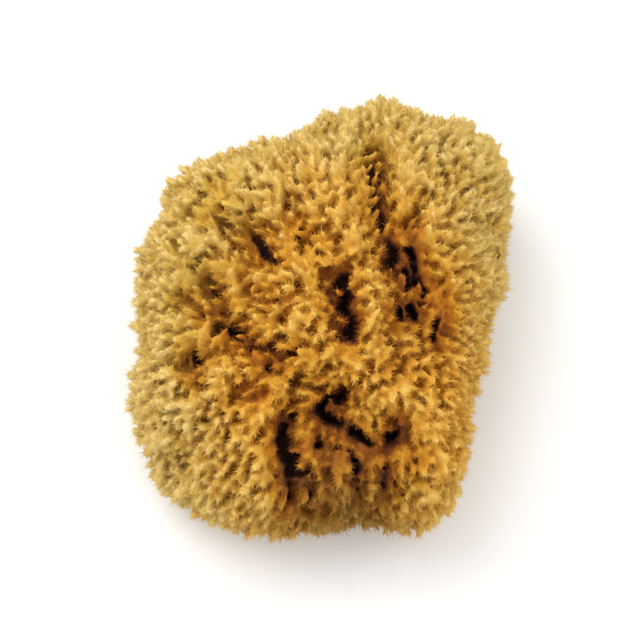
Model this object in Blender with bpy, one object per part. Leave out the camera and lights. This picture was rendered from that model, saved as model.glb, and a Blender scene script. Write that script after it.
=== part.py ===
"""A natural wool sea sponge: one grown piece, tufted all over, that was cut off its rock along a flat plane.

The sponge rests on that cut, at z = 0, with its domed side up. The origin is under the middle of its box.
Lengths are in metres and +Z is up. The photograph's camera looks down on the dome along +Y, and +X is to
its right. A direction on the sponge is (azimuth, elevation) in degrees, seen from the body's middle.
"""

import math

import bmesh
import bpy
import numpy as np
from mathutils import Vector, noise

MM = 0.001
NAME = "sponge"
SEED = 7

# The body under the tufts: a lopsided dome, widest a little above the cut
WIDEST_Z = 27 * MM
DOME_RISE = 50 * MM
BELLY_DROP = 42 * MM
DOME_POWER = 2.25
APEX_SHIFT = Vector((5 * MM, 4 * MM, 0))
LUMP_SHARE = 0.06
LUMP_WAVES = 3.4
LUMP_PLACE = Vector((3, 1, 4))

# The widest section, anticlockwise from the right-hand side, seen from above, in millimetres
OUTLINE_MM = (
    (56, -2), (62, 19), (63, 39), (59, 58), (41, 69), (21, 72), (-4, 60), (-31, 55), (-51, 41),
    (-57, 16), (-59, -8), (-59, -33), (-51, -52), (-34, -66), (-12, -72), (13, -67), (38, -70), (47, -38),
)
OUTLINE_STEPS = 12

# Tufts, and the hollows between them. They stand closer where the skin is carved deeper than FINE_DEPTH, and
# far apart below the cut, in the part that is cut away
SEEDS = 20000
TUFT_GAP = 4.5 * MM
CARVED_GAP = 2.7 * MM
FINE_DEPTH = 6 * MM
CUT_AWAY_GAP = 14 * MM
CUT_AWAY_Z = -5 * MM
TUFT_HEIGHT = 3.6 * MM
TUFT_SPREAD = 0.3
TUFT_LEAN = 0.5 * MM
HOLLOW_DEPTH = 1.8 * MM
HOLLOW_SPREAD = 0.4
RIDGE_SHARE = 0.5
RIM_FADE = 6 * MM

# Furrows between the lobes: the directions that each runs through, then half its width and its depth
# in millimetres
FURROWS = (
    (((73, 52), (62, 66), (42, 75), (8, 73), (-9, 67), (-25, 61), (-31, 53), (-35, 46)), 7.5, 14),
    (((-2, 61), (-14, 57), (-24, 52)), 6.0, 10),
    (((-125, 86), (-93, 82), (-83, 76), (-82, 71), (-80, 65)), 6.0, 13),
    (((-178, 44), (-160, 53), (-145, 58), (-130, 61), (-118, 61)), 7.5, 13),
    (((-167, 60), (-150, 63), (-142, 60)), 6.0, 10),
    (((154, 62), (177, 68), (-166, 71)), 6.0, 9),
    (((155, 50), (166, 58), (-173, 62)), 6.0, 9),
    (((-45, 68), (-52, 62), (-53, 54)), 6.0, 9),
    (((-104, 56), (-103, 46), (-100, 36), (-99, 26)), 6.0, 15),
    (((-137, 54), (-142, 46), (-148, 38)), 5.5, 8),
    (((112, 16), (104, 8), (110, -2), (106, -12)), 6.0, 9),
    (((20, 40), (12, 24), (18, 8)), 5.5, 8),
    (((142, 34), (150, 16), (146, 2)), 5.5, 8),
    (((-160, 26), (-166, 10), (-162, -4)), 5.5, 8),
    (((64, 30), (58, 14), (62, -2)), 5.0, 8),
)

# Oscula, the round holes that the sponge pumped its water out of: direction, then radius and depth in
# millimetres
OSCULA = (
    ((-103, 46), 6.0, 18), ((-94, 45), 5.0, 15), ((-92, 54), 5.5, 17), ((-83, 47), 5.5, 17),
    ((-70, 45), 5.5, 17), ((-90, 40), 4.5, 13), ((-83, 38), 4.8, 13), ((-73, 34), 4.8, 13),
    ((-66, 38), 4.8, 13), ((-88, 33), 4.5, 10), ((166, 81), 5.5, 10), ((-124, 48), 5.2, 8),
    ((-116, 57), 5.0, 8), ((-137, 42), 4.5, 7), ((32, 43), 4.5, 7), ((30, 66), 4.5, 8),
    ((-39, 56), 5.0, 9), ((88, 34), 7.0, 15), ((124, 40), 6.5, 13), ((76, 16), 6.5, 13),
    ((134, 12), 6.5, 13), ((44, 22), 6.2, 12), ((-4, 20), 6.2, 12), ((-30, 14), 6.0, 12),
    ((172, 26), 6.4, 12), ((-128, 14), 6.0, 11), ((-58, 12), 5.6, 9), ((-90, 8), 6.0, 11),
)
FURROW_STEPS = 14
FURROW_POWER = 2
OSCULUM_POWER = 4

# Deep in a furrow or an osculum the tufts are this much shorter
BARE_DEPTH = 12 * MM
BARE_SHARE = 0.8

# Water channels that end in the flat cut: x, y, radius and depth in millimetres
PORES_MM = (
    (-30, -38, 3.2, 9), (-8, -50, 2.4, 7), (22, -44, 3.6, 10), (-38, -6, 2.6, 8), (-14, -20, 4.2, 12),
    (30, -12, 2.8, 8), (10, 14, 3.4, 10), (-26, 22, 3.0, 9), (36, 26, 2.6, 8), (4, 42, 3.0, 9),
)
PORE_SIDES = 10
PORE_TAPER = 0.5
CUT_BLOCK = (300 * MM, 300 * MM, 40 * MM)

# The skeleton's golden ochre, as linear red, green, blue and alpha
SKELETON_COLOUR = (0.479, 0.238, 0.028, 1)
SKELETON_ROUGHNESS = 0.95


def direction(azimuth, elevation):
    """The unit vector towards an azimuth and an elevation in degrees."""
    turn, climb = math.radians(azimuth), math.radians(elevation)
    return Vector((math.cos(turn) * math.cos(climb), math.sin(turn) * math.cos(climb), math.sin(climb)))


def smooth_ring(corners):
    """The points of a closed Catmull-Rom curve through the corners."""
    corners = np.array(corners, float)
    before, after, second = (np.roll(corners, shift, 0) for shift in (1, -1, -2))
    points = []
    for t in np.linspace(0, 1, OUTLINE_STEPS, endpoint=False):
        points.append(0.5 * (
            2 * corners + (after - before) * t
            + (2 * before - 5 * corners + 4 * after - second) * t ** 2
            + (3 * corners - before - 3 * after + second) * t ** 3
        ))
    return np.array(points).transpose(1, 0, 2).reshape(-1, 2)


def outline_reach():
    """A function from an angle about the origin to the outline's distance there."""
    ring = smooth_ring(OUTLINE_MM) * MM
    angles = np.arctan2(ring[:, 1], ring[:, 0])
    order = np.argsort(angles)
    reach = np.hypot(ring[:, 0], ring[:, 1])[order]
    angles = angles[order]
    return lambda angle: float(np.interp(angle, angles, reach, period=2 * math.pi))


def body_point(way, reach):
    """The point of the smooth body that a unit vector points at."""
    across = math.hypot(way.x, way.y)
    grow = (abs(way.z) ** DOME_POWER + across ** DOME_POWER) ** (-1 / DOME_POWER)
    grow *= 1 + LUMP_SHARE * noise.noise(way * LUMP_WAVES + LUMP_PLACE)
    radius = reach(math.atan2(way.y, way.x)) * grow
    rise = DOME_RISE if way.z > 0 else BELLY_DROP
    climb = max(0.0, way.z * grow)
    return Vector((way.x * radius, way.y * radius, WIDEST_Z + rise * way.z * grow)) + APEX_SHIFT * climb ** 2


def carving_marks(reach):
    """Where the furrows and oscula are carved: points, and each one's half width, depth and wall power."""
    marks = []
    for path, half_width, depth in FURROWS:
        ways = [direction(*corner) for corner in path]
        for start, end in zip(ways, ways[1:]):
            for step in range(FURROW_STEPS):
                way = start.lerp(end, step / FURROW_STEPS).normalized()
                marks.append((*body_point(way, reach), half_width * MM, depth * MM, FURROW_POWER))
    for corner, radius, depth in OSCULA:
        marks.append((*body_point(direction(*corner), reach), radius * MM, depth * MM, OSCULUM_POWER))
    return np.array(marks)


def carved_depth(point, marks):
    """How deep the furrows and oscula are at a point of the smooth body."""
    away = np.linalg.norm(marks[:, :3] - np.array(point), axis=1) / marks[:, 3]
    return float((marks[:, 4] * np.clip(1 - away ** marks[:, 5], 0, 1)).max())


def tuft_ways(reach, marks, rng):
    """Unit vectors to the tufts, chosen so that no two tufts stand closer than the gap that the place asks."""
    ways, places = [], np.full((1, 3), math.inf)
    for seed in rng.normal(0, 1, (SEEDS, 3)):
        way = Vector(seed).normalized()
        place = body_point(way, reach)
        carved = min(1.0, carved_depth(place, marks) / FINE_DEPTH)
        gap = TUFT_GAP + (CARVED_GAP - TUFT_GAP) * carved
        if place.z < CUT_AWAY_Z:
            gap = CUT_AWAY_GAP
        if np.linalg.norm(places - np.array(place), axis=1).min() > gap:
            ways.append(way)
            places = np.vstack((places, place))
    return ways


def tufted_ball(ways, rng):
    """A ball whose tips and hollows take turns, and the set of its tip vertices.

    Edges between tips are turned to run between hollows instead, so that each tuft stands alone, apart
    from the share that stays as ridges, as where real tufts have grown together.
    """
    mesh = bmesh.new()
    for way in ways:
        mesh.verts.new(way)
    bmesh.ops.convex_hull(mesh, input=mesh.verts)
    bmesh.ops.recalc_face_normals(mesh, faces=mesh.faces)
    between_tips = list(mesh.edges)
    hollows = bmesh.ops.poke(mesh, faces=mesh.faces)["verts"]
    for vert in hollows:
        vert.co.normalize()
    parted = [edge for edge in between_tips if rng.random() > RIDGE_SHARE]
    bmesh.ops.rotate_edges(mesh, edges=parted, use_ccw=False)
    return mesh, set(mesh.verts) - set(hollows)


def centre_on_box(mesh):
    """Moves the mesh sideways until the middle of its box is over the origin."""
    for axis in (0, 1):
        ends = [vert.co[axis] for vert in mesh.verts]
        middle = (min(ends) + max(ends)) / 2
        for vert in mesh.verts:
            vert.co[axis] -= middle


def object_from(mesh, name):
    """A new object that holds the mesh."""
    data = bpy.data.meshes.new(name)
    mesh.to_mesh(data)
    mesh.free()
    return bpy.data.objects.new(name, data)


def build_sponge():
    """The whole sponge, still uncut: body, furrows, oscula and tufts in one closed mesh."""
    rng = np.random.default_rng(SEED)
    reach = outline_reach()
    marks = carving_marks(reach)
    mesh, tips = tufted_ball(tuft_ways(reach, marks, rng), rng)
    for vert in mesh.verts:
        vert.co = body_point(vert.co.copy(), reach)
    mesh.normal_update()
    normals = [vert.normal.copy() for vert in mesh.verts]
    for vert, normal in zip(mesh.verts, normals):
        grown = min(1.0, max(0.0, vert.co.z / RIM_FADE))
        carved = carved_depth(vert.co, marks)
        rise = -carved
        if vert in tips:
            height = TUFT_HEIGHT * (1 + TUFT_SPREAD * rng.uniform(-1, 1))
            rise += height * (1 - BARE_SHARE * min(1.0, carved / BARE_DEPTH))
            vert.co += Vector(rng.normal(0, 1, 3)) * TUFT_LEAN * grown
        else:
            rise -= HOLLOW_DEPTH * (1 + HOLLOW_SPREAD * rng.uniform(-1, 1))
        vert.co += normal * rise * grown
    centre_on_box(mesh)
    return object_from(mesh, NAME)


def build_cutters():
    """The block that leaves the flat cut, and a tapered pin for each channel that ends in the cut."""
    mesh = bmesh.new()
    bmesh.ops.create_cube(mesh, size=1)
    bmesh.ops.scale(mesh, vec=CUT_BLOCK, verts=mesh.verts)
    bmesh.ops.translate(mesh, vec=(0, 0, -CUT_BLOCK[2] / 2), verts=mesh.verts)
    yield object_from(mesh, "cut_block")
    for number, (x, y, radius, depth) in enumerate(PORES_MM):
        mesh = bmesh.new()
        bmesh.ops.create_cone(
            mesh, cap_ends=True, segments=PORE_SIDES, radius1=radius * MM, radius2=radius * PORE_TAPER * MM,
            depth=2 * depth * MM,
        )
        bmesh.ops.translate(mesh, vec=(x * MM, y * MM, 0), verts=mesh.verts)
        yield object_from(mesh, f"channel_{number}")


def sponge_skeleton():
    """The material of the sponge's soft, matt skeleton."""
    material = bpy.data.materials.new("sponge_skeleton")
    material.use_nodes = True
    surface = material.node_tree.nodes["Principled BSDF"].inputs
    surface["Base Color"].default_value = SKELETON_COLOUR
    surface["Roughness"].default_value = SKELETON_ROUGHNESS
    surface["Metallic"].default_value = 0
    return material


for old in list(bpy.data.objects):
    bpy.data.objects.remove(old)

parts = bpy.data.collections.new("sea_sponge")
cutters = bpy.data.collections.new("cutters")
for made in (parts, cutters):
    bpy.context.scene.collection.children.link(made)

sponge = build_sponge()
sponge.data.materials.append(sponge_skeleton())
parts.objects.link(sponge)
for cutter in build_cutters():
    cutter.hide_render = True
    cutter.display_type = "WIRE"
    cutters.objects.link(cutter)
    cut = sponge.modifiers.new(cutter.name, "BOOLEAN")
    cut.operation = "DIFFERENCE"
    cut.object = cutter
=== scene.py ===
# %% [markdown]
# # A wool sea sponge
# This lesson gives a plain solid the look of a dry bath sponge. The real thing is the skeleton of an
# animal, a soft net of fibres with no skin. Its outside is all pits, thin ragged walls and tufts, with a
# few furrows and holes that are deep enough to look black. The solid from the CAD step has the dome, the
# furrows and the large holes, so everything here grows on it.

# %% Load the frame
import math

import bpy
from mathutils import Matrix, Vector


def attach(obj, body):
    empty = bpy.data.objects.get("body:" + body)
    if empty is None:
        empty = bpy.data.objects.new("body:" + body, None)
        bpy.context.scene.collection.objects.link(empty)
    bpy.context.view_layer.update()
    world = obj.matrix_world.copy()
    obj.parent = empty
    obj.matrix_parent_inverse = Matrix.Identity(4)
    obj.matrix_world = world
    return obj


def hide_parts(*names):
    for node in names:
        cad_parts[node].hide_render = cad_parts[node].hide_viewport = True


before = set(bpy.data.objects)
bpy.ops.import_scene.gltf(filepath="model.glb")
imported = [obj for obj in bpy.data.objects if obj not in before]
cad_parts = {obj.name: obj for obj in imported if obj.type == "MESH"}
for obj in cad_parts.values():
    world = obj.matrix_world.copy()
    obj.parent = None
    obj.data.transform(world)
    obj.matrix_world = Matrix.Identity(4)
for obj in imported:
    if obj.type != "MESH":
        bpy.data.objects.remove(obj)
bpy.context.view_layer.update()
MM = 0.001

# %% [markdown]
# ## Small helpers
# A node tree is long to write one call at a time. The first helper adds a node, changes its settings and
# links its inputs in one line, so that a tree reads like a recipe. The others put a tree on an object and
# turn the result into a plain mesh, because the next step of a sculpture needs real points to push.

# %% Nodes
MATH, VECTOR_MATH = "ShaderNodeMath", "ShaderNodeVectorMath"


def add(tree, kind, feeds=(), out=0, **settings):
    """Adds a node and returns one of its outputs. feeds gives inputs, by name or number, as values or as the
    outputs of other nodes."""
    node = tree.nodes.new(kind)
    for name, value in settings.items():
        setattr(node, name, value)
    for key, value in dict(feeds).items():
        if isinstance(value, bpy.types.NodeSocket):
            tree.links.new(value, node.inputs[key])
        else:
            node.inputs[key].default_value = value
    return node.outputs[out] if len(node.outputs) else node


def new_tree(name, **sockets):
    """A Geometry Nodes tree with the named inputs, given by type, and the outputs of its input node."""
    tree = bpy.data.node_groups.new(name, "GeometryNodeTree")
    tree.interface.new_socket("Geometry", in_out="INPUT", socket_type="NodeSocketGeometry")
    tree.interface.new_socket("Geometry", in_out="OUTPUT", socket_type="NodeSocketGeometry")
    for label, kind in sockets.items():
        tree.interface.new_socket(label, in_out="INPUT", socket_type="NodeSocket" + kind)
    return tree, tree.nodes.new("NodeGroupInput").outputs


# %% Objects and modifiers
def in_scene(name, mesh):
    piece = bpy.data.objects.new(name, mesh)
    bpy.context.scene.collection.objects.link(piece)
    return piece


def run_tree(piece, tree, **values):
    """Puts a tree on a piece as a modifier and sets its named inputs."""
    modifier = piece.modifiers.new(tree.name, "NODES")
    modifier.node_group = tree
    for item in tree.interface.items_tree:
        if item.item_type == "SOCKET" and item.in_out == "INPUT" and item.name in values:
            modifier[item.identifier] = values[item.name]


def remesh(piece, size, smoothing):
    """Rebuilds the surface from cubes of one size, which joins what touches, and softens their steps."""
    cubes = piece.modifiers.new("remesh", "REMESH")
    cubes.mode = "VOXEL"
    cubes.voxel_size = size
    cubes.use_smooth_shade = True
    soft = piece.modifiers.new("soften", "SMOOTH")
    soft.factor = 0.5
    soft.iterations = smoothing


def settled(piece, name):
    """A new object with the mesh that the piece's modifiers make. The piece itself goes."""
    bpy.context.view_layer.update()
    graph = bpy.context.evaluated_depsgraph_get()
    mesh = bpy.data.meshes.new_from_object(
        piece.evaluated_get(graph), preserve_all_data_layers=True, depsgraph=graph)
    bpy.data.objects.remove(piece)
    return in_scene(name, mesh)


def triangle_count(piece):
    return sum(len(face.vertices) - 2 for face in piece.data.polygons)


# %% [markdown]
# ## The camera comes first
# The furrows and holes are placed by where the photograph shows them, so the lesson needs its camera before
# its sponge. The camera looks down on the front of the dome from far away with a long lens.

# %% Camera
CAMERA_ELEVATION = math.radians(68)
CAMERA_DISTANCE = 716.8 * MM
CAMERA_TARGET = Vector((-1.7, -1.4, 29.4)) * MM
CAMERA_BACK = Vector((0, -math.cos(CAMERA_ELEVATION), math.sin(CAMERA_ELEVATION)))
PHOTO_SIZE = 640

lens = bpy.data.cameras.new("camera")
lens.lens = 120
lens.sensor_width = 36
camera = in_scene("camera", lens)
camera.location = CAMERA_TARGET + CAMERA_DISTANCE * CAMERA_BACK
camera.rotation_euler = (math.pi / 2 - CAMERA_ELEVATION, 0, 0)
bpy.context.scene.camera = camera


def pixel_ray(x, y):
    """The way the camera sees a pixel of the photograph."""
    half = lens.sensor_width / lens.lens / 2
    across, up = (2 * x / PHOTO_SIZE - 1) * half, (1 - 2 * y / PHOTO_SIZE) * half
    return (camera.rotation_euler.to_matrix() @ Vector((across, up, -1))).normalized()


print("camera in mm:", [round(value / MM, 1) for value in camera.location])

# %% [markdown]
# ## The guide
# The CAD solid stands in for the tufts with short facets. Remeshed and softened, it becomes a smooth body
# with the same furrows and holes, and that is the ground that the real tufts grow from.

# %% Guide surface
GUIDE_VOXEL = 1.2 * MM
GUIDE_SOFTENING = 6
WELD_GAP = 0.01 * MM

guide = in_scene("guide_rough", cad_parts["sponge"].data.copy())
weld = guide.modifiers.new("weld", "WELD")
weld.merge_threshold = WELD_GAP
remesh(guide, GUIDE_VOXEL, GUIDE_SOFTENING)
guide = settled(guide, "guide")
print("guide:", triangle_count(guide), "triangles")

# %% [markdown]
# ## The shell
# How dark a place looks depends on how far it lies below the tips around it. For that the lesson needs a
# second surface, one that runs over the furrows as cling film would. Swelling the guide until its furrows
# close, then shrinking it by as much, gives it.

# %% Shell surface
CLOSING = 9 * MM
CLOSING_STEPS = 3
SHELL_VOXEL = 2 * MM
SHELL_SOFTENING = 2

tree, given = new_tree("swell", By="Float")
push = add(tree, VECTOR_MATH, {0: add(tree, "GeometryNodeInputNormal"), 3: given["By"]}, operation="SCALE")
moved = add(tree, "GeometryNodeSetPosition", {"Geometry": given["Geometry"], "Offset": push})
add(tree, "NodeGroupOutput", {0: moved})

shell = in_scene("shell_rough", guide.data.copy())
for distance in [CLOSING / CLOSING_STEPS] * CLOSING_STEPS + [-CLOSING / CLOSING_STEPS] * CLOSING_STEPS:
    run_tree(shell, tree, By=distance)
    remesh(shell, SHELL_VOXEL, SHELL_SOFTENING)
shell = settled(shell, "shell")
print("shell:", [round(side / MM, 1) for side in shell.dimensions], "mm")

# %% [markdown]
# ## Furrows and holes
# The sea water left the sponge through its larger holes, and where it grew against itself it folded into
# furrows. Both are dark because no light comes back out of them. Each is a short path of pixels of the
# photograph, with half its width in pixels and its depth in millimetres, and is laid on the shell by
# following the camera's ray through each pixel.

# %% Dark paths in the photograph
# Each point is x, y and half the width in pixels, and the depth in millimetres.
DARK_PATHS = (
    ((342, 396, 4, 11), (325, 404, 5, 13), (319, 411, 5, 14), (328, 419, 5, 14), (341, 423, 4, 12)),
    ((284, 424, 4, 9), (285, 437, 5, 13), (281, 448, 5, 14), (284, 458, 6, 14), (287, 470, 4, 13),
     (288, 482, 4, 12)),
    ((284, 458, 5, 14), (295, 455, 4, 13), (302, 454, 3, 11)),
    ((306, 451, 4, 12), (316, 446, 5, 13)),
    ((331, 452, 3, 12), (332, 462, 4, 13), (330, 473, 3, 11)),
    ((353, 433, 5, 13), (360, 442, 6, 14), (371, 446, 4, 12)),
    ((349, 459, 3, 11), (357, 464, 5, 13), (358, 471, 4, 12)),
    ((400, 426, 4, 13), (394, 437, 5, 13), (387, 449, 4, 12)),
    ((386, 468, 3, 9), (389, 480, 5, 12)),
    ((416, 464, 5, 12),),
    ((290, 482, 4, 10), (301, 482, 4, 10), (307, 491, 5, 9), (311, 504, 5, 8)),
    ((286, 492, 3, 10), (286, 511, 4, 9)),
    ((327, 485, 3, 9), (328, 497, 3, 9)),
    ((357, 482, 4, 9), (358, 502, 3, 8)),
    ((326, 508, 4, 7),),
    ((293, 413, 3, 7),),
    ((384, 500, 4, 7), (378, 513, 4, 7)),
    ((373, 148, 4, 4), (368, 168, 6, 4), (371, 188, 6, 4), (375, 208, 4, 4), (382, 225, 4, 4),
     (392, 241, 5, 7), (394, 255, 5, 7), (391, 268, 3, 9)),
    ((410, 230, 3, 9), (416, 250, 3, 9), (419, 266, 3, 9), (423, 283, 4, 9), (437, 291, 4, 9),
     (442, 305, 4, 9), (447, 325, 3, 9), (441, 338, 3, 9)),
    ((401, 307, 3, 9), (402, 319, 3, 9)),
    ((415, 304, 3, 9), (420, 319, 3, 9)),
    ((407, 268, 4, 9), (409, 284, 5, 9)),
    ((345, 274, 4, 6), (339, 285, 4, 6), (345, 298, 4, 9), (346, 312, 4, 10), (353, 322, 3, 8),
     (349, 338, 3, 6)),
    ((331, 305, 3, 5),),
    ((218, 189, 3, 4), (226, 205, 4, 5)),
    ((207, 209, 3, 4),),
    ((250, 230, 3, 4), (257, 244, 4, 6), (266, 255, 4, 6), (277, 258, 3, 4)),
    ((298, 224, 4, 4), (301, 236, 3, 5)),
    ((213, 262, 4, 4),),
    ((212, 280, 3, 5), (216, 296, 4, 8)),
    ((188, 301, 3, 8), (199, 314, 4, 8), (206, 326, 5, 8), (213, 339, 4, 8)),
    ((206, 326, 5, 8), (225, 328, 3, 8), (240, 336, 3, 8), (250, 346, 3, 8), (257, 357, 3, 8),
     (266, 368, 4, 8)),
    ((180, 336, 3, 4), (192, 350, 4, 8), (191, 371, 3, 8)),
    ((217, 310, 3, 8),),
    ((247, 283, 3, 4), (262, 294, 3, 5)),
    ((290, 350, 4, 4), (302, 361, 4, 5)),
    ((311, 376, 4, 4),),
    ((259, 398, 5, 7),),
    ((239, 412, 4, 5),),
    ((395, 371, 3, 4),),
    ((424, 370, 3, 4), (438, 380, 3, 4)),
)
PIXEL = 0.336 * MM  # what a pixel of the photograph covers on the sponge

# %% Lay the paths on the shell
def seen_flat(place):
    """A place moved along the camera's line of sight onto the plane through the origin."""
    return place - place.dot(CAMERA_BACK) * CAMERA_BACK


bpy.context.view_layer.update()
marks = []
for path in DARK_PATHS:
    legs = list(zip(path, path[1:])) or [(path[0], path[0])]
    for start, end in legs:
        steps = max(1, round(math.dist(start[:2], end[:2])))
        for step in range(steps + 1):
            x, y, half, deep = (a + (b - a) * step / steps for a, b in zip(start, end))
            found, place, _, _ = shell.ray_cast(camera.location, pixel_ray(x, y))
            if found:
                marks.append((seen_flat(place), half * PIXEL, deep * MM))
mesh = bpy.data.meshes.new("marks")
mesh.from_pydata([place for place, _, _ in marks], [], [])
for label, column in (("half_width", 1), ("depth", 2)):
    mesh.attributes.new(label, "FLOAT", "POINT").data.foreach_set("value", [mark[column] for mark in marks])
openings = in_scene("openings", mesh)
print("marks on the shell:", len(marks))

# %% [markdown]
# ## What every layer shares
# A sponge grows outwards from the place where it held on to its rock. Each layer below moves points along
# that outward way and fades out at the flat cut that the sponge rests on, so the cut stays flat apart from
# its pores. These small functions each give one field, such as the outward way or the distance from the
# shell, so that every tree can use them.

# %% Growth fields
GROWTH_CENTRE = Vector((8, -6, 28)) * MM
CUT_START = 0.2 * MM
CUT_FADE = 6 * MM
EVEN_PUSH = (0.5, 0.5, 0.5)


def outward_way(tree):
    """The unit vector away from the growth centre, and the distance from it."""
    here = add(tree, "GeometryNodeInputPosition")
    arm = add(tree, VECTOR_MATH, {0: here, 1: GROWTH_CENTRE}, operation="SUBTRACT")
    reach = add(tree, VECTOR_MATH, {0: arm}, out="Value", operation="LENGTH")
    return add(tree, VECTOR_MATH, {0: arm}, operation="NORMALIZE"), reach


def off_the_cut(tree):
    """0 on the flat cut, rising to 1 over the first millimetres above it."""
    height = add(tree, "ShaderNodeSeparateXYZ", {0: add(tree, "GeometryNodeInputPosition")}, out="Z")
    return add(tree, "ShaderNodeMapRange", {0: height, 1: CUT_START, 2: CUT_FADE},
               interpolation_type="SMOOTHSTEP")


def wandering(tree, place, size, amount):
    """Places pushed about by soft noise, so that no cell keeps a straight side."""
    push = add(tree, "ShaderNodeTexNoise", {"Vector": place, "Scale": 1 / size, "Detail": 2}, out="Color")
    push = add(tree, VECTOR_MATH, {0: push, 1: EVEN_PUSH}, operation="SUBTRACT")
    push = add(tree, VECTOR_MATH, {0: push, 3: amount}, operation="SCALE")
    return add(tree, VECTOR_MATH, {0: place, 1: push}, operation="ADD")


def stretched(tree, share, neutral=55 * MM):
    """Places drawn together along the outward way, which makes the cells of a pattern long that way."""
    way, reach = outward_way(tree)
    reach = add(tree, MATH, {0: reach, 1: share, 2: neutral * (1 - share)}, operation="MULTIPLY_ADD")
    return add(tree, VECTOR_MATH, {0: way, 3: reach}, operation="SCALE")


def grown(tree, geometry, distance, lean, dug=None):
    """Moves points by a distance along a mix of the outward way and their own normal, and by a vector dug."""
    normal = add(tree, VECTOR_MATH, {0: add(tree, "GeometryNodeInputNormal"), 3: lean}, operation="SCALE")
    way = add(tree, VECTOR_MATH, {0: outward_way(tree)[0], 1: normal}, operation="ADD")
    way = add(tree, VECTOR_MATH, {0: way}, operation="NORMALIZE")
    push = add(tree, VECTOR_MATH, {0: way, 3: distance}, operation="SCALE")
    if dug:
        push = add(tree, VECTOR_MATH, {0: push, 1: dug}, operation="ADD")
    return add(tree, "GeometryNodeSetPosition", {"Geometry": geometry, "Offset": push})


# %% Depth fields
FURROW_START = 1.0 * MM
VALLEY_START = 2.0 * MM
VALLEY_FULL = 9.0 * MM
FLOOR_GAP = 0.02 * MM


def height_over(tree, body):
    """Signed distance from another object's surface: above it is positive, and sunk below it negative."""
    info = add(tree, "GeometryNodeObjectInfo", {"Object": body}, out="Geometry")
    near = add(tree, "GeometryNodeProximity", {0: info}, target_element="FACES")
    foot, gap = near, near.node.outputs["Distance"]
    away = add(tree, VECTOR_MATH, {0: add(tree, "GeometryNodeInputPosition"), 1: foot}, operation="SUBTRACT")
    side = add(tree, VECTOR_MATH, {0: away, 1: outward_way(tree)[0]}, out="Value", operation="DOT_PRODUCT")
    return add(tree, MATH, {0: add(tree, MATH, {0: side}, operation="SIGN"), 1: gap}, operation="MULTIPLY")


def sunk_below(tree, shell):
    """How far a point lies below the shell, as a negative number, and 0 on the crests."""
    sunk = add(tree, MATH, {0: height_over(tree, shell), 1: FURROW_START}, operation="ADD")
    return add(tree, MATH, {0: sunk, 1: 0.0}, operation="MINIMUM")


def valley(tree, body, shell):
    """1 in the furrows of a body, where it lies far below the shell, and 0 on its crests."""
    info = add(tree, "GeometryNodeObjectInfo", {"Object": body}, out="Geometry")
    foot = add(tree, "GeometryNodeProximity", {0: info}, target_element="FACES")
    info = add(tree, "GeometryNodeObjectInfo", {"Object": shell}, out="Geometry")
    gap = add(tree, "GeometryNodeProximity", {0: info, "Sample Position": foot}, out="Distance",
              target_element="FACES")
    return add(tree, "ShaderNodeMapRange", {0: gap, 1: VALLEY_START, 2: VALLEY_FULL},
               interpolation_type="SMOOTHSTEP")


def above_the_floor(tree, geometry):
    """Lifts whatever hangs below the flat cut up to it, so that nothing pokes through a table."""
    parts = add(tree, "ShaderNodeSeparateXYZ", {0: add(tree, "GeometryNodeInputPosition")}).node.outputs
    height = add(tree, MATH, {0: parts["Z"], 1: FLOOR_GAP}, operation="MAXIMUM")
    place = add(tree, "ShaderNodeCombineXYZ", {0: parts["X"], 1: parts["Y"], 2: height})
    return add(tree, "GeometryNodeSetPosition", {"Geometry": geometry, "Position": place})


# %% Opening fields
OPENING_WANDER = 3.5 * MM
OPENING_CORE, OPENING_RIM = 0.7, 1.6  # in half widths: inside up to the first, outside past the second
HOLLOW_START = 1 * MM
HOLLOW_REACH = 8 * MM
HOLLOW_DEPTH = 10 * MM  # an opening this deep has the full hollow around it
SMOOTH_RIM = 2.0 * MM
ROUGH_RIM = 3.0 * MM
TURNED_AWAY = 0.25


def nearest_opening(tree, body, place, rough):
    """The nearest mark of an object, seen along the line of sight: how far a place is inside it, 1 well
    inside and 0 outside, the same for the hollow around it, and the mark's depth."""
    info = add(tree, "GeometryNodeObjectInfo", {"Object": body}, out="Geometry")
    along = add(tree, VECTOR_MATH, {0: place, 1: CAMERA_BACK}, out="Value", operation="DOT_PRODUCT")
    along = add(tree, VECTOR_MATH, {0: CAMERA_BACK, 3: along}, operation="SCALE")
    here = wandering(tree, place, OPENING_WANDER, rough)
    here = add(tree, VECTOR_MATH, {0: here, 1: along}, operation="SUBTRACT")
    nearest = add(tree, "GeometryNodeSampleNearest", {"Geometry": info, "Sample Position": here},
                  domain="POINT")
    mark = add(tree, "GeometryNodeInputPosition")
    mark = add(tree, "GeometryNodeSampleIndex", {"Geometry": info, "Value": mark, "Index": nearest},
               data_type="FLOAT_VECTOR")
    found = []
    for label in ("half_width", "depth"):
        value = add(tree, "GeometryNodeInputNamedAttribute", {"Name": label}, data_type="FLOAT")
        value = add(tree, "GeometryNodeSampleIndex", {"Geometry": info, "Value": value, "Index": nearest})
        found.append(value)
    gap = add(tree, VECTOR_MATH, {0: mark, 1: here}, out="Value", operation="DISTANCE")
    share = add(tree, MATH, {0: gap, 1: found[0]}, operation="DIVIDE")
    share = add(tree, "ShaderNodeMapRange", {0: share, 1: OPENING_CORE, 2: OPENING_RIM, 3: 1.0, 4: 0.0},
                interpolation_type="SMOOTHSTEP")
    around = add(tree, "ShaderNodeMapRange", {0: gap, 1: HOLLOW_START, 2: HOLLOW_REACH, 3: 1.0, 4: 0.0},
                 interpolation_type="SMOOTHSTEP")
    scale = add(tree, "ShaderNodeMapRange", {0: found[1], 1: 0.0, 2: HOLLOW_DEPTH})
    around = add(tree, MATH, {0: around, 1: scale}, operation="MULTIPLY")
    return share, around, found[1]


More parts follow.
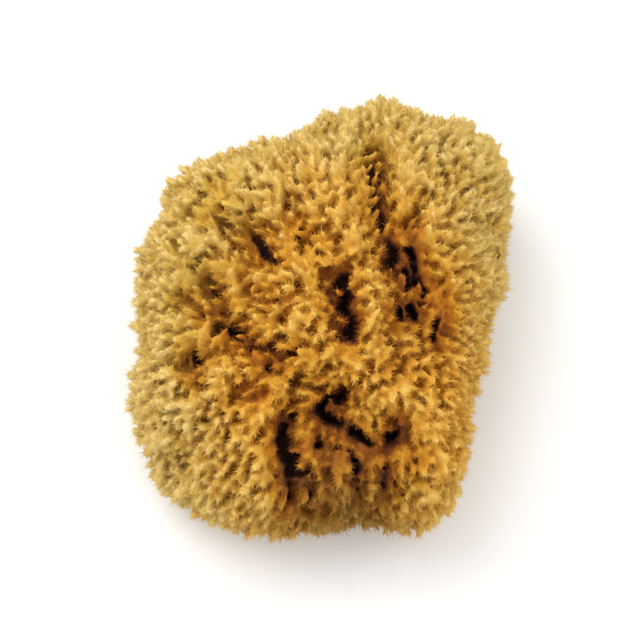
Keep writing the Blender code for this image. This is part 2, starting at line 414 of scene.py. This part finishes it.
def towards_the_camera(tree):
    """1 on faces that look towards the camera, falling to 0 on those that look away."""
    facing = add(tree, VECTOR_MATH, {0: add(tree, "GeometryNodeInputNormal"), 1: CAMERA_BACK}, out="Value",
                 operation="DOT_PRODUCT")
    return add(tree, "ShaderNodeMapRange", {0: facing, 1: 0.0, 2: TURNED_AWAY},
               interpolation_type="SMOOTHSTEP")


def carved_by(tree, body):
    """How far down the line of sight the openings cut, on faces that look towards the camera."""
    share, _, depth = nearest_opening(tree, body, add(tree, "GeometryNodeInputPosition"), ROUGH_RIM)
    share = add(tree, MATH, {0: share, 1: towards_the_camera(tree)}, operation="MULTIPLY")
    return add(tree, MATH, {0: share, 1: depth}, operation="MULTIPLY")


# %% [markdown]
# ## Pits and walls
# Under its tufts a sponge is a foam of small canals. Cut across, as on the flat underside, it shows round
# pores with thin walls between them. A bump map would leave the edge of the sponge smooth, so the pits are
# real. A Voronoi pattern gives the walls as the places that are far from every cell's centre, two noises
# bend them, and the ground between them is pushed in. The furrows of the guide are filled most of the way
# first, because in the photograph they are valleys full of tufts, and then the dark openings are cut along
# the camera's line of sight.

# %% Depth of the pits
PIT_BENDS = ((14 * MM, 5 * MM), (3.2 * MM, 2.4 * MM))  # each noise's size, and how far it bends a wall
PIT_WALL, PIT_FLOOR = 0.03, 0.2  # distance from the wall's middle, as a share of a cell
SHALLOW_CHANCE = 0.1  # cells that draw less than this are only shallow
FACING_DOWN, STRAIGHT_DOWN = -0.9, -0.97
PIT_LEAN = 0.6

tree, given = new_tree("pits", Shell="Object", Marks="Object", Cell="Float", Shallow="Float", Deep="Float",
                       Ground="Float", Fill="Float")
place = add(tree, "GeometryNodeInputPosition")
for size, amount in PIT_BENDS:
    place = wandering(tree, place, size, amount)
scale = add(tree, MATH, {0: 1.0, 1: given["Cell"]}, operation="DIVIDE")
edge = add(tree, "ShaderNodeTexVoronoi", {"Vector": place, "Scale": scale}, out="Distance",
           feature="DISTANCE_TO_EDGE")
chance = add(tree, "ShaderNodeTexVoronoi", {"Vector": place, "Scale": scale}, out="Color")
chance = add(tree, "ShaderNodeSeparateXYZ", {0: chance})
pit = add(tree, "ShaderNodeMapRange", {0: edge, 1: PIT_WALL, 2: PIT_FLOOR}, interpolation_type="SMOOTHSTEP")
depth = add(tree, "ShaderNodeMapRange", {
    0: chance, 1: SHALLOW_CHANCE, 2: 1.0, 3: given["Shallow"], 4: given["Deep"]})
pit = add(tree, MATH, {0: pit, 1: depth}, operation="MULTIPLY")

# %% Rise of the ground
rise = add(tree, MATH, {0: given["Ground"], 1: pit}, operation="SUBTRACT")
rise = add(tree, MATH, {0: rise, 1: off_the_cut(tree)}, operation="MULTIPLY")
sunk = add(tree, MATH, {0: sunk_below(tree, given["Shell"]), 1: off_the_cut(tree)}, operation="MULTIPLY")
rise = add(tree, MATH, {0: sunk, 1: given["Fill"], 2: rise}, operation="MULTIPLY_ADD")
dug = add(tree, VECTOR_MATH, {0: -CAMERA_BACK, 3: carved_by(tree, given["Marks"])}, operation="SCALE")
down = add(tree, "ShaderNodeSeparateXYZ", {0: add(tree, "GeometryNodeInputNormal")}, out="Z")
down = add(tree, "ShaderNodeMapRange", {0: down, 1: FACING_DOWN, 2: STRAIGHT_DOWN})
pore = add(tree, MATH, {0: pit, 1: down}, operation="MULTIPLY")
pore = add(tree, "ShaderNodeCombineXYZ", {2: pore})
dug = add(tree, VECTOR_MATH, {0: dug, 1: pore}, operation="ADD")
add(tree, "NodeGroupOutput", {0: grown(tree, given["Geometry"], rise, PIT_LEAN, dug)})
pits = tree
print("pits tree:", len(pits.nodes), "nodes")

# %% [markdown]
# ## Lobes
# The outside of the sponge is a crowd of flat lobes with ragged tops, combed outwards and up. Sculpting
# thousands of them by hand would take days. One lobe is made here from rings of points, with a crown that
# goes up and down, and the tree plants it on the guide wherever it finds room, turned and stretched a
# little differently each time. Lobes that would grow into an opening are left out. The spacing is coarser
# than on a real sponge, and the fibres of a later step make up for it.

# %% One lobe
LOBE_SIDES = 8
LOBE_RINGS = ((-9.0, 1.1), (-5.0, 1.55), (-2.4, 1.8), (-0.2, 1.5))  # height and radius in mm
LOBE_CROWN = ((2.2, 0.8), (0.9, 1.1))
LOBE_CUP = 0.8
LOBE_FLATNESS = 0.6

corners, faces = [], []
for ring in (*LOBE_RINGS, None):
    for side in range(LOBE_SIDES):
        height, radius = ring or LOBE_CROWN[side % 2]
        turn = 2 * math.pi * side / LOBE_SIDES
        across, along = radius * math.cos(turn), radius * LOBE_FLATNESS * math.sin(turn)
        corners.append((across * MM, along * MM, height * MM))
for ring in range(len(LOBE_RINGS)):
    for side in range(LOBE_SIDES):
        low, next_low = ring * LOBE_SIDES + side, ring * LOBE_SIDES + (side + 1) % LOBE_SIDES
        faces.append((low, next_low, next_low + LOBE_SIDES, low + LOBE_SIDES))
last = len(corners) - LOBE_SIDES
corners.append((0, 0, LOBE_CUP * MM))
faces += [(last + side, last + (side + 1) % LOBE_SIDES, len(corners) - 1) for side in range(LOBE_SIDES)]
faces.append(tuple(reversed(range(LOBE_SIDES))))
mesh = bpy.data.meshes.new("lobe")
mesh.from_pydata(corners, [], faces)
mesh.polygons.foreach_set("use_smooth", [True] * len(faces))
lobe = in_scene("lobe", mesh)
print("one lobe:", triangle_count(lobe), "triangles")

# %% Places and directions of the lobes
NO_LIMIT = 1e7  # points a square metre, so that only the spacing decides
LOBE_COMB_SHARES = (1.0, 1.0, 0.75)
LOBE_SWAYS = ((13 * MM, 2.6), (5 * MM, 3.2))  # the size of each noise, and its strength

tree, given = new_tree(
    "lobes", Guide="Object", Shell="Object", Marks="Object", Lobe="Object", Spacing="Float", Short="Float",
    Long="Float", Comb="Float", Tip="Float", Hollow="Float", Fill="Float")
body = add(tree, "GeometryNodeObjectInfo", {"Object": given["Guide"]}, out="Geometry")
points = add(tree, "GeometryNodeDistributePointsOnFaces", {
    "Mesh": body, "Distance Min": given["Spacing"], "Density Max": NO_LIMIT, "Seed": 3},
    distribute_method="POISSON")
normal = points.node.outputs["Normal"]
here = add(tree, "GeometryNodeInputPosition")
way = add(tree, VECTOR_MATH, {0: outward_way(tree)[0], 1: LOBE_COMB_SHARES}, operation="MULTIPLY")
way = add(tree, VECTOR_MATH, {0: way, 3: given["Comb"]}, operation="SCALE")
way = add(tree, VECTOR_MATH, {0: way, 1: normal}, operation="ADD")
for size, strength in LOBE_SWAYS:
    sway = add(tree, "ShaderNodeTexNoise", {"Vector": here, "Scale": 1 / size, "Detail": 2}, out="Color")
    sway = add(tree, VECTOR_MATH, {0: sway, 1: EVEN_PUSH}, operation="SUBTRACT")
    way = add(tree, VECTOR_MATH, {0: sway, 1: (strength, strength, strength), 2: way},
              operation="MULTIPLY_ADD")
way = add(tree, VECTOR_MATH, {0: way}, operation="NORMALIZE")
across = add(tree, VECTOR_MATH, {0: way, 1: normal}, operation="CROSS_PRODUCT")
across = add(tree, VECTOR_MATH, {0: across}, operation="NORMALIZE")
for label, value in (("way", way), ("across", across)):
    points = add(tree, "GeometryNodeStoreNamedAttribute", {"Geometry": points, "Name": label, "Value": value},
                 data_type="FLOAT_VECTOR")
way, across = (add(tree, "GeometryNodeInputNamedAttribute", {"Name": label}, data_type="FLOAT_VECTOR")
               for label in ("way", "across"))

# %% Lobes that are left out
CLEARED_DEPTH = 5.0 * MM

tip = add(tree, VECTOR_MATH, {0: way, 3: given["Tip"]}, operation="SCALE")
tip = add(tree, VECTOR_MATH, {0: here, 1: tip}, operation="ADD")
inside = []
for place in (here, tip):
    share, _, deep = nearest_opening(tree, given["Marks"], place, SMOOTH_RIM)
    inside.append(add(tree, MATH, {0: share, 1: deep}, operation="MULTIPLY"))
inside = add(tree, MATH, {0: inside[0], 1: inside[1]}, operation="MAXIMUM")
inside = add(tree, MATH, {0: inside, 1: CLEARED_DEPTH}, operation="GREATER_THAN")
low = add(tree, MATH, {0: off_the_cut(tree), 1: 0.5}, operation="LESS_THAN")
unwanted = add(tree, MATH, {0: inside, 1: low}, operation="MAXIMUM")
points = add(tree, "GeometryNodeDeleteGeometry", {"Geometry": points, "Selection": unwanted})
filled = add(tree, MATH, {0: sunk_below(tree, given["Shell"]), 1: given["Fill"]}, operation="MULTIPLY")
filled = add(tree, VECTOR_MATH, {0: outward_way(tree)[0], 3: filled}, operation="SCALE")
points = add(tree, "GeometryNodeSetPosition", {"Geometry": points, "Offset": filled})

# %% Plant the lobes
LOBE_THINNEST, LOBE_WIDEST = 0.75, 1.3
LOBE_BENDS = ((4 * MM, 2.2 * MM), (1.3 * MM, 0.9 * MM))

side = add(tree, "FunctionNodeRandomValue", {0: (-0.5, -0.5, -0.5), 1: (0.5, 0.5, 0.5), "Seed": 5},
           data_type="FLOAT_VECTOR")
side = add(tree, VECTOR_MATH, {0: across, 1: side}, operation="ADD")
turn = add(tree, "FunctionNodeAxesToRotation", {"Primary Axis": way, "Secondary Axis": side},
           primary_axis="Z", secondary_axis="X")
length = add(tree, "FunctionNodeRandomValue", {2: given["Short"], 3: given["Long"], "Seed": 9}, out=1)
width = add(tree, "FunctionNodeRandomValue", {2: LOBE_THINNEST, 3: LOBE_WIDEST, "Seed": 10}, out=1)
size = add(tree, "ShaderNodeCombineXYZ", {0: width, 1: width, 2: length})
form = add(tree, "GeometryNodeObjectInfo", {"Object": given["Lobe"]}, out="Geometry")
planted = add(tree, "GeometryNodeInstanceOnPoints", {
    "Points": points, "Instance": form, "Rotation": turn, "Scale": size})
planted = add(tree, "GeometryNodeRealizeInstances", {0: planted})
bent = add(tree, "GeometryNodeInputPosition")
for bend_size, amount in LOBE_BENDS:
    bent = wandering(tree, bent, bend_size, amount)
planted = add(tree, "GeometryNodeSetPosition", {"Geometry": planted, "Position": bent})

# %% Bow the lobes into the hollows
_, around, _ = nearest_opening(tree, given["Marks"], add(tree, "GeometryNodeInputPosition"), ROUGH_RIM)
around = add(tree, MATH, {0: around, 1: off_the_cut(tree)}, operation="MULTIPLY")
around = add(tree, MATH, {0: around, 1: given["Hollow"]}, operation="MULTIPLY")
around = add(tree, VECTOR_MATH, {0: -CAMERA_BACK, 3: around}, operation="SCALE")
planted = add(tree, "GeometryNodeSetPosition", {"Geometry": planted, "Offset": around})
joined = add(tree, "GeometryNodeJoinGeometry")
tree.links.new(given["Geometry"], joined.node.inputs[0])
tree.links.new(above_the_floor(tree, planted), joined.node.inputs[0])
add(tree, "NodeGroupOutput", {0: joined})
lobes = tree
print("lobes tree:", len(lobes.nodes), "nodes")

# %% [markdown]
# ## Ragged edges
# A remesh leaves every lobe rounded like wax. A much finer Voronoi pattern, drawn long in the outward way,
# lifts small knobs and cuts notches between them, which breaks the round tops into the torn edges of the
# real net.

# %% Ragged tree
KNOB_DRAWN_OUT = 0.4
KNOB_TOP, KNOB_FOOT = 0.1, 0.75  # distance from a knob's middle, as a share of a cell
RAGGED_LEAN = 1.2

tree, given = new_tree("ragged", Size="Float", Tip="Float", Notch="Float")
scale = add(tree, MATH, {0: 1.0, 1: given["Size"]}, operation="DIVIDE")
place = stretched(tree, KNOB_DRAWN_OUT)
knob = add(tree, "ShaderNodeTexVoronoi", {"Vector": place, "Scale": scale}, out="Distance")
knob = add(tree, "ShaderNodeMapRange", {
    0: knob, 1: KNOB_TOP, 2: KNOB_FOOT, 3: given["Tip"], 4: given["Notch"]})
rise = add(tree, MATH, {0: knob, 1: off_the_cut(tree)}, operation="MULTIPLY")
add(tree, "NodeGroupOutput", {0: grown(tree, given["Geometry"], rise, RAGGED_LEAN)})
ragged = tree
print("ragged tree:", len(ragged.nodes), "nodes")

# %% [markdown]
# ## Growing the flesh
# The pits and the lobes are run on the guide, and one voxel remesh fuses them into a single skin, as the
# real sponge grew in one piece. Boolean unions of so many lobes would be slow and break easily. The ragged
# edges come after it, and the decimate modifier then spends the triangles where the surface bends most.

# %% Grow the flesh
GROUND_VOXEL = 0.8 * MM
GROUND_SOFTENING = 2
FLESH_VOXEL = 0.6 * MM
FLESH_SOFTENING = 1
FLESH_TRIANGLES = 192000
FURROW_FILL = -0.95  # times a depth below the shell, which is negative

flesh = in_scene("flesh_rough", guide.data.copy())
remesh(flesh, GROUND_VOXEL, GROUND_SOFTENING)
run_tree(flesh, pits, Shell=shell, Marks=openings, Cell=5.0 * MM, Shallow=0.5 * MM, Deep=3.0 * MM,
         Ground=-5.5 * MM, Fill=FURROW_FILL)
run_tree(flesh, lobes, Guide=guide, Shell=shell, Marks=openings, Lobe=lobe, Spacing=3.75 * MM, Short=0.45,
         Long=1.2, Comb=1.2, Tip=2.5 * MM, Hollow=4 * MM, Fill=FURROW_FILL)
remesh(flesh, FLESH_VOXEL, FLESH_SOFTENING)
flesh = settled(flesh, "flesh_smooth")
run_tree(flesh, ragged, Size=1.6 * MM, Tip=0.45 * MM, Notch=-0.45 * MM)
flesh = settled(flesh, "flesh_ragged")
count = triangle_count(flesh)
thin = flesh.modifiers.new("thin", "DECIMATE")
thin.ratio = FLESH_TRIANGLES / count
flesh = settled(flesh, "flesh_thinned")
print("flesh:", count, "triangles, thinned to", triangle_count(flesh))

# %% [markdown]
# ## The colour
# Dry sponge is a horny brown fibre. In the sun it bleaches to straw, while the inside stays amber, and it
# looks darker the deeper it lies, because light that goes in is swallowed by the net. That shade is painted
# into the colour: one value, the depth below the shell, drives a colour ramp from near black to straw, and
# noises of three sizes keep it from looking airbrushed. Near the openings and furrows the colour is painted
# darker still, as more shade. A second ramp, paler and greener, takes over away from the crown, where the
# sponge was out in the light longest; it stands for that bleaching and also paints light onto the rim. The
# foot of the front is darkened with painted shade.

# %% Colour helpers
def linear(hex_colour):
    """An sRGB hex colour as linear red, green, blue and alpha."""
    parts = [int(hex_colour[i:i + 2], 16) / 255 for i in (1, 3, 5)]
    return (*(v / 12.92 if v <= 0.04045 else ((v + 0.055) / 1.055) ** 2.4 for v in parts), 1)


def new_material(name, roughness):
    material = bpy.data.materials.new(name)
    material.use_nodes = True
    shader = material.node_tree.nodes["Principled BSDF"]
    shader.inputs["Roughness"].default_value = roughness
    return material, material.node_tree, shader.inputs


def colour_ramp(tree, value, stops):
    """A colour ramp whose stops are pairs of place and hex colour."""
    ramp = tree.nodes.new("ShaderNodeValToRGB")
    tree.links.new(value, ramp.inputs[0])
    while len(ramp.color_ramp.elements) < len(stops):
        ramp.color_ramp.elements.new(0.5)
    for element, (place, colour) in zip(ramp.color_ramp.elements, stops):
        element.position = place
        element.color = linear(colour)
    return ramp.outputs[0]


# %% Dry sponge fibre: depth becomes tone, with painted shade in the deep places
# Spongin is a horny protein fibre, dried here. The net scatters what it reflects, so it looks matt.
SPONGIN_ROUGHNESS = 0.92
CLOUD_SIZE = 14 * MM
PATCH_SIZE = 4.5 * MM
TUFT_SIZE = 1.2 * MM
DARKEST_DEPTH = -11 * MM
PALEST_HEIGHT = 5.5 * MM

spongin, tree, surface = new_material("dry_spongin", SPONGIN_ROUGHNESS)
here = add(tree, "ShaderNodeTexCoord", out="Object")
cloudy = add(tree, "ShaderNodeTexNoise", {"Vector": here, "Scale": 1 / CLOUD_SIZE, "Detail": 4})
fine = add(tree, "ShaderNodeTexNoise", {"Vector": here, "Scale": 1 / TUFT_SIZE, "Detail": 3})
patchy = add(tree, "ShaderNodeTexNoise", {"Vector": here, "Scale": 1 / PATCH_SIZE, "Detail": 1})
patchy = add(tree, MATH, {0: patchy, 1: 0.5}, operation="SUBTRACT")
height, shaded, along = (add(tree, "ShaderNodeAttribute", out="Fac", attribute_name=label)
                         for label in ("sunk", "shaded", "along"))
# The depth below the shell sets the tone, so the deep places are darker as painted shade. The three noises
# vary it at random, shaded adds painted shade near the openings and furrows, and along makes each fibre
# darker at its root, also as painted shade.
shifts = ((cloudy, 5 * MM), (fine, 3 * MM), (patchy, 7 * MM), (shaded, -4 * MM), (along, 3 * MM))
for value, amount in shifts:
    height = add(tree, MATH, {0: value, 1: amount, 2: height}, operation="MULTIPLY_ADD")
tone = add(tree, "ShaderNodeMapRange", {0: height, 1: DARKEST_DEPTH, 2: PALEST_HEIGHT})
crown_colour_painted_shade = colour_ramp(tree, tone, (
    (0.0, "#2A0A02"), (0.2, "#6A2E04"), (0.42, "#B46C06"),
    (0.66, "#CC8E1A"), (0.84, "#D6A030"), (1.0, "#E2B652")))
rim_ramp_lit_and_bleached = colour_ramp(tree, tone, (
    (0.0, "#2A1004"), (0.2, "#7A480A"), (0.42, "#B4821A"),
    (0.66, "#C89C36"), (0.84, "#D0AD4C"), (1.0, "#DCC074")))

# %% Painted rim light with bleaching, and painted shade at the front foot
RIM_LIGHT_BLEACH_CENTRE = Vector((8, -30, 0)) * MM
RIM_LIGHT_BLEACH_SHARES = (1.15, 0.85, 0.0)
RIM_LIGHT_BLEACH_START, RIM_LIGHT_BLEACH_FULL = 48 * MM, 84 * MM
RIM_LIGHT_BLEACH_CLOUDS = 24 * MM
FRONT_SHADE_PLACE = Vector((6, -68, 28)) * MM
FRONT_SHADE_CORE, FRONT_SHADE_REACH = 12 * MM, 44 * MM
FRONT_SHADE_SPECKLES = 10 * MM
FRONT_SHADE_SHARE = 0.6
FRONT_SHADE_COLOUR = linear("#6E4414")

# Painted light and bleaching: the paler, greener ramp takes over further from a point in front of the middle,
# as the rim of the sponge is both sun bleached and lit through its thin edges.
arm = add(tree, VECTOR_MATH, {0: here, 1: RIM_LIGHT_BLEACH_CENTRE}, operation="SUBTRACT")
arm = add(tree, VECTOR_MATH, {0: arm, 1: RIM_LIGHT_BLEACH_SHARES}, operation="MULTIPLY")
reach = add(tree, VECTOR_MATH, {0: arm}, out="Value", operation="LENGTH")
reach = add(tree, MATH, {0: cloudy, 1: RIM_LIGHT_BLEACH_CLOUDS, 2: reach}, operation="MULTIPLY_ADD")
rim_light_and_bleach = add(tree, "ShaderNodeMapRange", {0: reach, 1: RIM_LIGHT_BLEACH_START, 2: RIM_LIGHT_BLEACH_FULL},
              interpolation_type="SMOOTHSTEP")
colour = add(tree, "ShaderNodeMix", {0: rim_light_and_bleach, 6: crown_colour_painted_shade, 7: rim_ramp_lit_and_bleached}, out=2, data_type="RGBA")
# Painted shade: the foot of the front is darkened towards a dark brown, and fine noise breaks up its edge.
gap = add(tree, VECTOR_MATH, {0: here, 1: FRONT_SHADE_PLACE}, out="Value", operation="DISTANCE")
gap = add(tree, MATH, {0: fine, 1: FRONT_SHADE_SPECKLES, 2: gap}, operation="MULTIPLY_ADD")
painted_front_shade = add(tree, "ShaderNodeMapRange", {0: gap, 1: FRONT_SHADE_CORE, 2: FRONT_SHADE_REACH, 3: FRONT_SHADE_SHARE, 4: 0.0},
           interpolation_type="SMOOTHSTEP")
colour = add(tree, "ShaderNodeMix", {0: painted_front_shade, 6: colour, 7: FRONT_SHADE_COLOUR}, out=2, data_type="RGBA")
tree.links.new(colour, surface["Base Color"])

# %% Grain
# A spongin fibre is only some hundredths of a millimetre thick. The grain is drawn coarser, so that it shows.
GRAIN_SIZE = 0.5 * MM
GRAIN_DEPTH = 0.25 * MM
GRAIN_STRENGTH = 0.6

grain = add(tree, "ShaderNodeTexNoise", {"Vector": here, "Scale": 1 / GRAIN_SIZE, "Detail": 2})
bump = add(tree, "ShaderNodeBump", {"Height": grain, "Distance": GRAIN_DEPTH, "Strength": GRAIN_STRENGTH})
tree.links.new(bump, surface["Normal"])
print(spongin.name + ":", len(tree.nodes), "nodes")

# %% [markdown]
# ## Finished pieces
# The material sets its tone and its painted shade from how deep each point lies and how near it is to a
# furrow or an opening. Both are known only here, while the guide, the shell and the marks exist, so the last
# tree writes them into the mesh as attributes. A texture could hold them too, but a surface with so many
# folds is hard to unwrap.

# %% Finish tree
tree, given = new_tree("finish", Shell="Object", Marks="Object", Guide="Object")
# shaded holds the painted shade: near 1 close to a deep opening and in the furrows of the guide.
_, around, _ = nearest_opening(tree, given["Marks"], add(tree, "GeometryNodeInputPosition"), ROUGH_RIM)
low = valley(tree, given["Guide"], given["Shell"])
low = add(tree, MATH, {0: low, 1: off_the_cut(tree)}, operation="MULTIPLY")
around = add(tree, MATH, {0: around, 1: low}, operation="MAXIMUM")
stored = above_the_floor(tree, given["Geometry"])
for label, value in (("sunk", height_over(tree, given["Shell"])), ("shaded", around)):
    stored = add(tree, "GeometryNodeStoreNamedAttribute", {"Geometry": stored, "Name": label, "Value": value},
                 data_type="FLOAT")
stored = add(tree, "GeometryNodeRealizeInstances", {0: stored})
stored = add(tree, "GeometryNodeSetMaterial", {0: stored, "Material": spongin})
add(tree, "NodeGroupOutput", {0: stored})
finish = tree
print("finish tree:", len(finish.nodes), "nodes")


def finished(piece, name):
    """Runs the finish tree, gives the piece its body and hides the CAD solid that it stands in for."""
    run_tree(piece, finish, Shell=shell, Marks=openings, Guide=guide)
    piece = settled(piece, name)
    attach(piece, "root")
    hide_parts("sponge")
    print(piece.name, triangle_count(piece), "triangles")
    return piece


# %% [markdown]
# ## Fibres
# Seen close, every tuft ends in loose fibres, thinner than a hair and most visible along the edge. Hair
# curves would be quick to draw, but they don't survive an export to other programs. Each fibre here is a
# spike with four faces, planted on the tops of the lobes. A soft noise leans neighbours the same way, so
# that they gather in points as damp hair does. The spikes are thicker than real fibres, since one stands
# for a few of them. They are made in four pieces, one for each quarter, to keep each mesh light.

# %% One fibre
FIBRE_RADIUS = 0.175 * MM
FIBRE_ROOT = 0.4 * MM
FIBRE_HEIGHT = 1 * MM  # stretched to its own length where it is planted

mesh = bpy.data.meshes.new("spike")
corners = [(FIBRE_RADIUS * math.cos(turn), FIBRE_RADIUS * math.sin(turn), -FIBRE_ROOT)
           for turn in (0, 2 * math.pi / 3, 4 * math.pi / 3)]
mesh.from_pydata(corners + [(0, 0, FIBRE_HEIGHT)], [], [(2, 1, 0), (0, 1, 3), (1, 2, 3), (2, 0, 3)])
mesh.attributes.new("along", "FLOAT", "POINT").data.foreach_set("value", [0.0, 0.0, 0.0, 1.0])
spike = in_scene("spike", mesh)
print("one fibre:", triangle_count(spike), "triangles")

# %% Places for the fibres
CREST_FOOT, CREST_TOP = -6.5 * MM, -1.0 * MM

tree, given = new_tree(
    "fibres", Flesh="Object", Spike="Object", Guide="Object", Marks="Object", Right="Float", Back="Float",
    Density="Float", Short="Float", Long="Float", Comb="Float", Stray="Float")
body = add(tree, "GeometryNodeObjectInfo", {"Object": given["Flesh"]}, out="Geometry")
crest = add(tree, "ShaderNodeMapRange", {0: height_over(tree, given["Guide"]), 1: CREST_FOOT, 2: CREST_TOP},
            interpolation_type="SMOOTHSTEP")
crest = add(tree, MATH, {0: crest, 1: off_the_cut(tree)}, operation="MULTIPLY")
share, _, _ = nearest_opening(tree, given["Marks"], add(tree, "GeometryNodeInputPosition"), SMOOTH_RIM)
share = add(tree, MATH, {0: 1.0, 1: share}, operation="SUBTRACT")
crest = add(tree, MATH, {0: crest, 1: share}, operation="MULTIPLY")
density = add(tree, MATH, {0: crest, 1: given["Density"]}, operation="MULTIPLY")
points = add(tree, "GeometryNodeDistributePointsOnFaces", {"Mesh": body, "Density": density, "Seed": 7})
normal = points.node.outputs["Normal"]
here = add(tree, "GeometryNodeInputPosition")
parts = add(tree, "ShaderNodeSeparateXYZ", {0: here}).node.outputs
across = add(tree, MATH, {0: parts["X"], 1: given["Right"]}, operation="MULTIPLY")
along = add(tree, MATH, {0: parts["Y"], 1: given["Back"]}, operation="MULTIPLY")
outside = add(tree, MATH, {0: across, 1: along}, operation="MINIMUM")
outside = add(tree, MATH, {0: outside, 1: 0.0}, operation="LESS_THAN")
points = add(tree, "GeometryNodeDeleteGeometry", {"Geometry": points, "Selection": outside})

# %% Plant the fibres
CLUMP_SIZE = 1.8 * MM
CLUMP_STRENGTH = (1.9, 1.9, 1.9)

way = add(tree, VECTOR_MATH, {0: outward_way(tree)[0], 3: given["Comb"]}, operation="SCALE")
way = add(tree, VECTOR_MATH, {0: way, 1: normal}, operation="ADD")
clump = add(tree, "ShaderNodeTexNoise", {"Vector": here, "Scale": 1 / CLUMP_SIZE, "Detail": 1}, out="Color")
clump = add(tree, VECTOR_MATH, {0: clump, 1: EVEN_PUSH}, operation="SUBTRACT")
way = add(tree, VECTOR_MATH, {0: clump, 1: CLUMP_STRENGTH, 2: way}, operation="MULTIPLY_ADD")
stray = add(tree, "FunctionNodeRandomValue", {0: (-1.0, -1.0, -1.0), 1: (1.0, 1.0, 1.0), "Seed": 11},
            data_type="FLOAT_VECTOR")
stray = add(tree, VECTOR_MATH, {0: stray, 3: given["Stray"]}, operation="SCALE")
way = add(tree, VECTOR_MATH, {0: way, 1: stray}, operation="ADD")
turn = add(tree, "FunctionNodeAlignRotationToVector", {"Vector": way}, axis="Z")
chance = add(tree, "FunctionNodeRandomValue", {2: given["Short"], 3: given["Long"], "Seed": 13}, out=1)
size = add(tree, "ShaderNodeCombineXYZ", {0: 1.0, 1: 1.0, 2: chance})
form = add(tree, "GeometryNodeObjectInfo", {"Object": given["Spike"]}, out="Geometry")
fur = add(tree, "GeometryNodeInstanceOnPoints", {
    "Points": points, "Instance": form, "Rotation": turn, "Scale": size})
fur = add(tree, "GeometryNodeRealizeInstances", {0: fur})
add(tree, "NodeGroupOutput", {0: above_the_floor(tree, fur)})
fibres = tree
print("fibres tree:", len(fibres.nodes), "nodes")

# %% [markdown]
# ## Running the last trees
# The flesh is finished first, since the fibres grow on it. The helpers, such as the guide and the shell,
# have done their work and go.

# %% Run the fibres
FIBRE_DENSITY = 1.55e6  # fibres a square metre

flesh = finished(flesh, "flesh")
for column, right in (("left", -1.0), ("right", 1.0)):
    for row, back in (("front", -1.0), ("back", 1.0)):
        fur = in_scene("fur", bpy.data.meshes.new("fur"))
        run_tree(fur, fibres, Flesh=flesh, Spike=spike, Guide=guide, Marks=openings, Right=right, Back=back,
                 Density=FIBRE_DENSITY, Short=0.9, Long=2.5, Comb=1.0, Stray=0.5)
        finished(fur, f"fibres_{row}_{column}")
for helper in (spike, lobe, guide, shell, openings):
    bpy.data.objects.remove(helper)

# %% [markdown]
# ## Floor and light
# The photograph shows the sponge on plain white, with soft light from everywhere and hardly a shadow. A
# bright world gives that, and two large lamps add just enough direction to shape the lobes.

# %% Floor
FLOOR_REACH = 3

floor_mesh = bpy.data.meshes.new("floor")
floor_corners = [(x * FLOOR_REACH, y * FLOOR_REACH, 0) for x, y in ((-1, -1), (1, -1), (1, 1), (-1, 1))]
floor_mesh.from_pydata(floor_corners, [], [(0, 1, 2, 3)])
floor = in_scene("floor", floor_mesh)
white, _, surface = new_material("studio_floor", 0.9)
surface["Base Color"].default_value = linear("#F4F4F2")
floor_mesh.materials.append(white)
print("floor:", 2 * FLOOR_REACH, "m square")

# %% Light
WORLD_STRENGTH = 0.92
LAMP_SIZE = 0.8
LAMP_AIM = Vector((0, 0, 0.03))
LAMPS = (("key", (-0.4, 0.3, 0.7), 5), ("fill", (0.6, -0.4, 0.6), 2))  # name, place in m, watts

world = bpy.data.worlds.new("studio")
bpy.context.scene.world = world
world.use_nodes = True
world.node_tree.nodes["Background"].inputs["Color"].default_value = (1, 1, 1, 1)
world.node_tree.nodes["Background"].inputs["Strength"].default_value = WORLD_STRENGTH
for name, place, power in LAMPS:
    data = bpy.data.lights.new(name, "AREA")
    data.size = LAMP_SIZE
    data.energy = power
    lamp = in_scene(name, data)
    lamp.location = place
    lamp.rotation_euler = (LAMP_AIM - Vector(place)).to_track_quat("-Z", "Y").to_euler()
    print("lamp", name, power, "W")
bpy.context.scene.view_settings.view_transform = "Standard"
